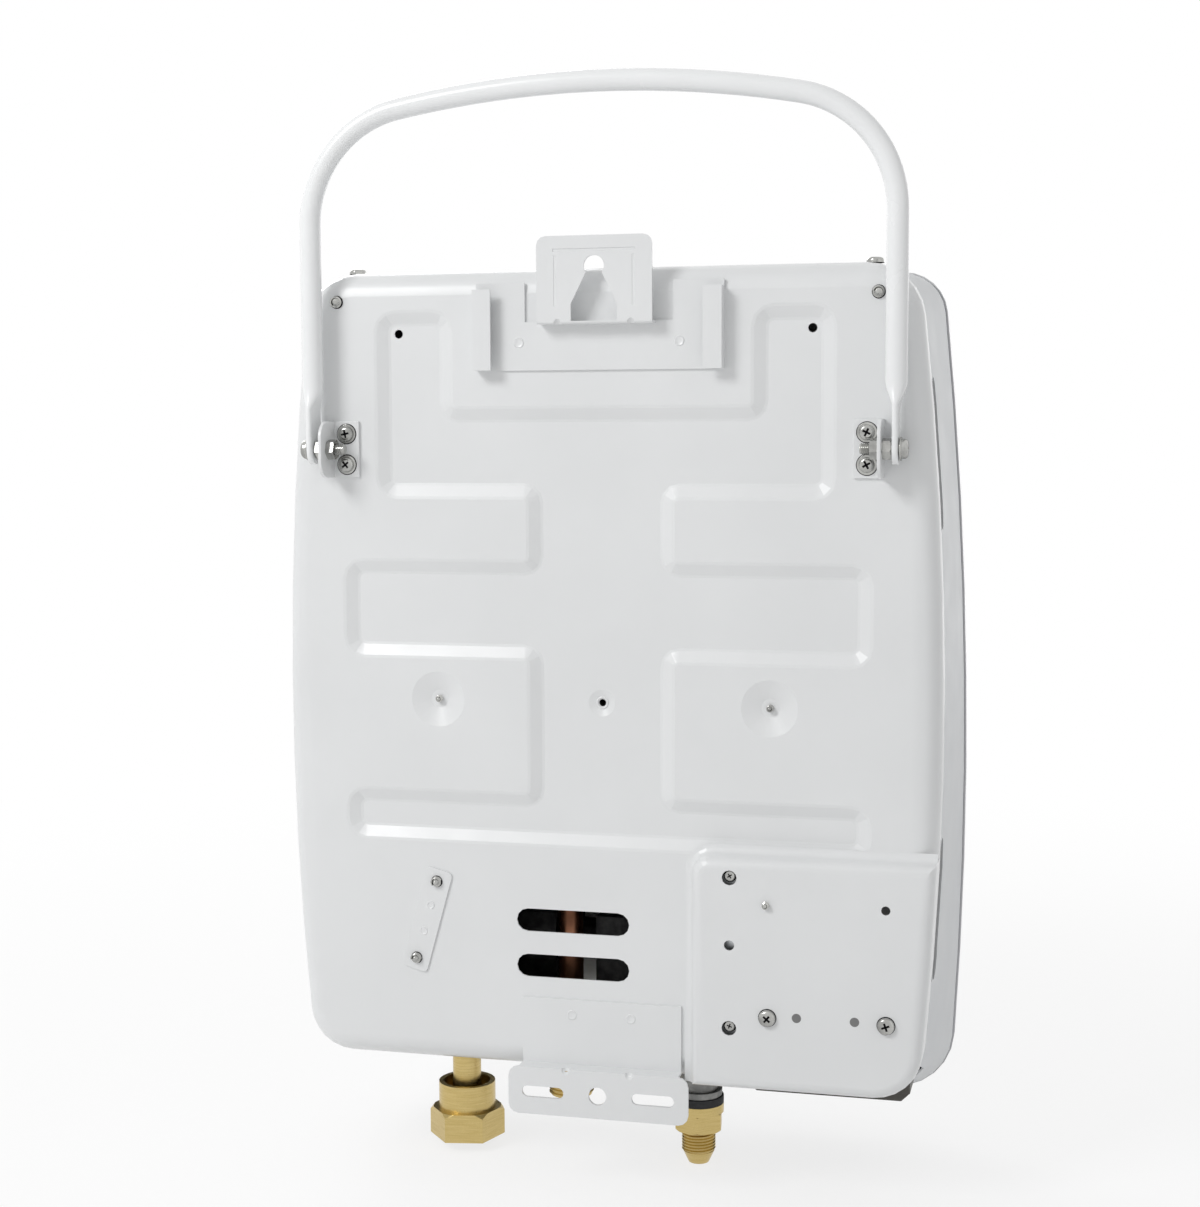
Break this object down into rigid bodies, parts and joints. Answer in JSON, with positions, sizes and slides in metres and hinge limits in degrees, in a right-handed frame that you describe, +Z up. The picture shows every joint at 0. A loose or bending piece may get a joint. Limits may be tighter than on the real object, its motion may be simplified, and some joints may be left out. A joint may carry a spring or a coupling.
{
  "type": "portable propane water heater",
  "caption": "Portable tankless propane water heater with folding carry handle, wall hooks, hose and flare connections, battery door and front controls.",
  "frame": {"origin": "centre of the keyhole in the top wall bracket, on the plane that touches the wall", "axes": "+Y from the heater's front towards the wall, +Z up, +X to the right as seen from the front"},
  "size_m": [0.3046, 0.1566, 0.4929],
  "materials": {
    "white_enamel": "gloss white stoved enamel",
    "seam_gasket": "dark blue-black moulding",
    "white_tube": "gloss white coated tube",
    "zinc": "zinc-plated steel",
    "brass": "machined brass",
    "grey_casting": "die-cast aluminium",
    "black_rubber": "black rubber",
    "galvanised": "galvanised sheet",
    "stainless": "stainless sheet",
    "copper": "copper",
    "dark_plastic": "dark grey plastic",
    "black_plastic": "black plastic",
    "cell_jacket": "plain cell jacket",
    "knob_plastic": "dark knob",
    "lens": "smoked lens",
    "glass": "clear glass",
    "circuit": "circuit board"
  },
  "bodies": {
    "heater": {"back_panel": "white_enamel", "front_cover": "white_enamel", "seam_strip": "seam_gasket", "front_fascia": "white_enamel", "top_wall_bracket": "white_enamel", "bottom_wall_bracket": "white_enamel", "strap_plate": "white_enamel", "handle_bracket_right": "white_enamel", "handle_bracket_left": "white_enamel", "pivot_bolts": "zinc", "water_inlet_tube": "brass", "hose_washer": "black_rubber", "gas_inlet_body": "grey_casting", "gas_seal_ring": "black_rubber", "gas_flare_adapter": "brass", "corner_screws": "zinc", "top_edge_screws": "zinc", "handle_bracket_screws": "zinc", "strap_screws": "zinc", "battery_box_screws": "zinc", "base_plate": "galvanised", "gas_valve": "grey_casting", "water_valve": "grey_casting", "gas_manifold": "galvanised", "burner": "stainless", "hot_water_outlet": "brass", "hot_pipe": "copper", "cold_pipe": "copper", "combustion_chamber": "stainless", "heat_exchanger": "copper", "flue_hood": "stainless", "ignition_module": "black_plastic", "tip_over_switch": "black_plastic", "valve_bracket": "galvanised", "microswitch": "black_plastic", "thermal_cutout": "black_plastic", "battery_box": "dark_plastic", "battery_cell_right": "cell_jacket", "battery_cell_left": "cell_jacket", "battery_contacts": "zinc", "door_hinge_pin": "zinc", "display_lens": "lens", "display_board": "circuit", "window_glass": "glass", "switch_housing": "black_plastic"},
    "carry_handle": {"handle": "white_tube"},
    "hose_nut": {"hose_swivel_nut": "brass"},
    "battery_lid": {"battery_door": "dark_plastic"},
    "gas_control": {"gas_knob": "knob_plastic", "gas_knob_spindle": "stainless"},
    "season_control": {"season_knob": "knob_plastic", "season_knob_spindle": "stainless"},
    "water_control": {"water_knob": "knob_plastic", "water_knob_spindle": "stainless"},
    "power_switch": {"power_rocker": "black_plastic"}
  },
  "joints": [
    {"name": "handle_swing", "type": "hinge", "parent": "heater", "child": "carry_handle", "pos_m": [0, 0, -0.0782], "axis": [1, 0, 0], "range_deg": [-178, 3]},
    {"name": "hose_nut_spin", "type": "hinge", "parent": "heater", "child": "hose_nut", "pos_m": [0.0784, -0.056, -0.393], "axis": [0, 0, 1], "continuous": true},
    {"name": "battery_lid_hinge", "type": "hinge", "parent": "heater", "child": "battery_lid", "pos_m": [-0.1011, -0.05, -0.3565], "axis": [1, 0, 0], "range_deg": [-100, 0]},
    {"name": "gas_knob_turn", "type": "hinge", "parent": "heater", "child": "gas_control", "pos_m": [-0.07, -0.129, -0.33], "axis": [0, -1, 0], "range_deg": [-270, 0]},
    {"name": "season_knob_turn", "type": "hinge", "parent": "heater", "child": "season_control", "pos_m": [0, -0.129, -0.33], "axis": [0, -1, 0], "range_deg": [-90, 90]},
    {"name": "water_knob_turn", "type": "hinge", "parent": "heater", "child": "water_control", "pos_m": [0.07, -0.129, -0.33], "axis": [0, -1, 0], "range_deg": [-270, 0]},
    {"name": "rocker_tilt", "type": "hinge", "parent": "heater", "child": "power_switch", "pos_m": [0.105, -0.123, -0.275], "axis": [1, 0, 0], "range_deg": [-8, 8]}
  ]
}
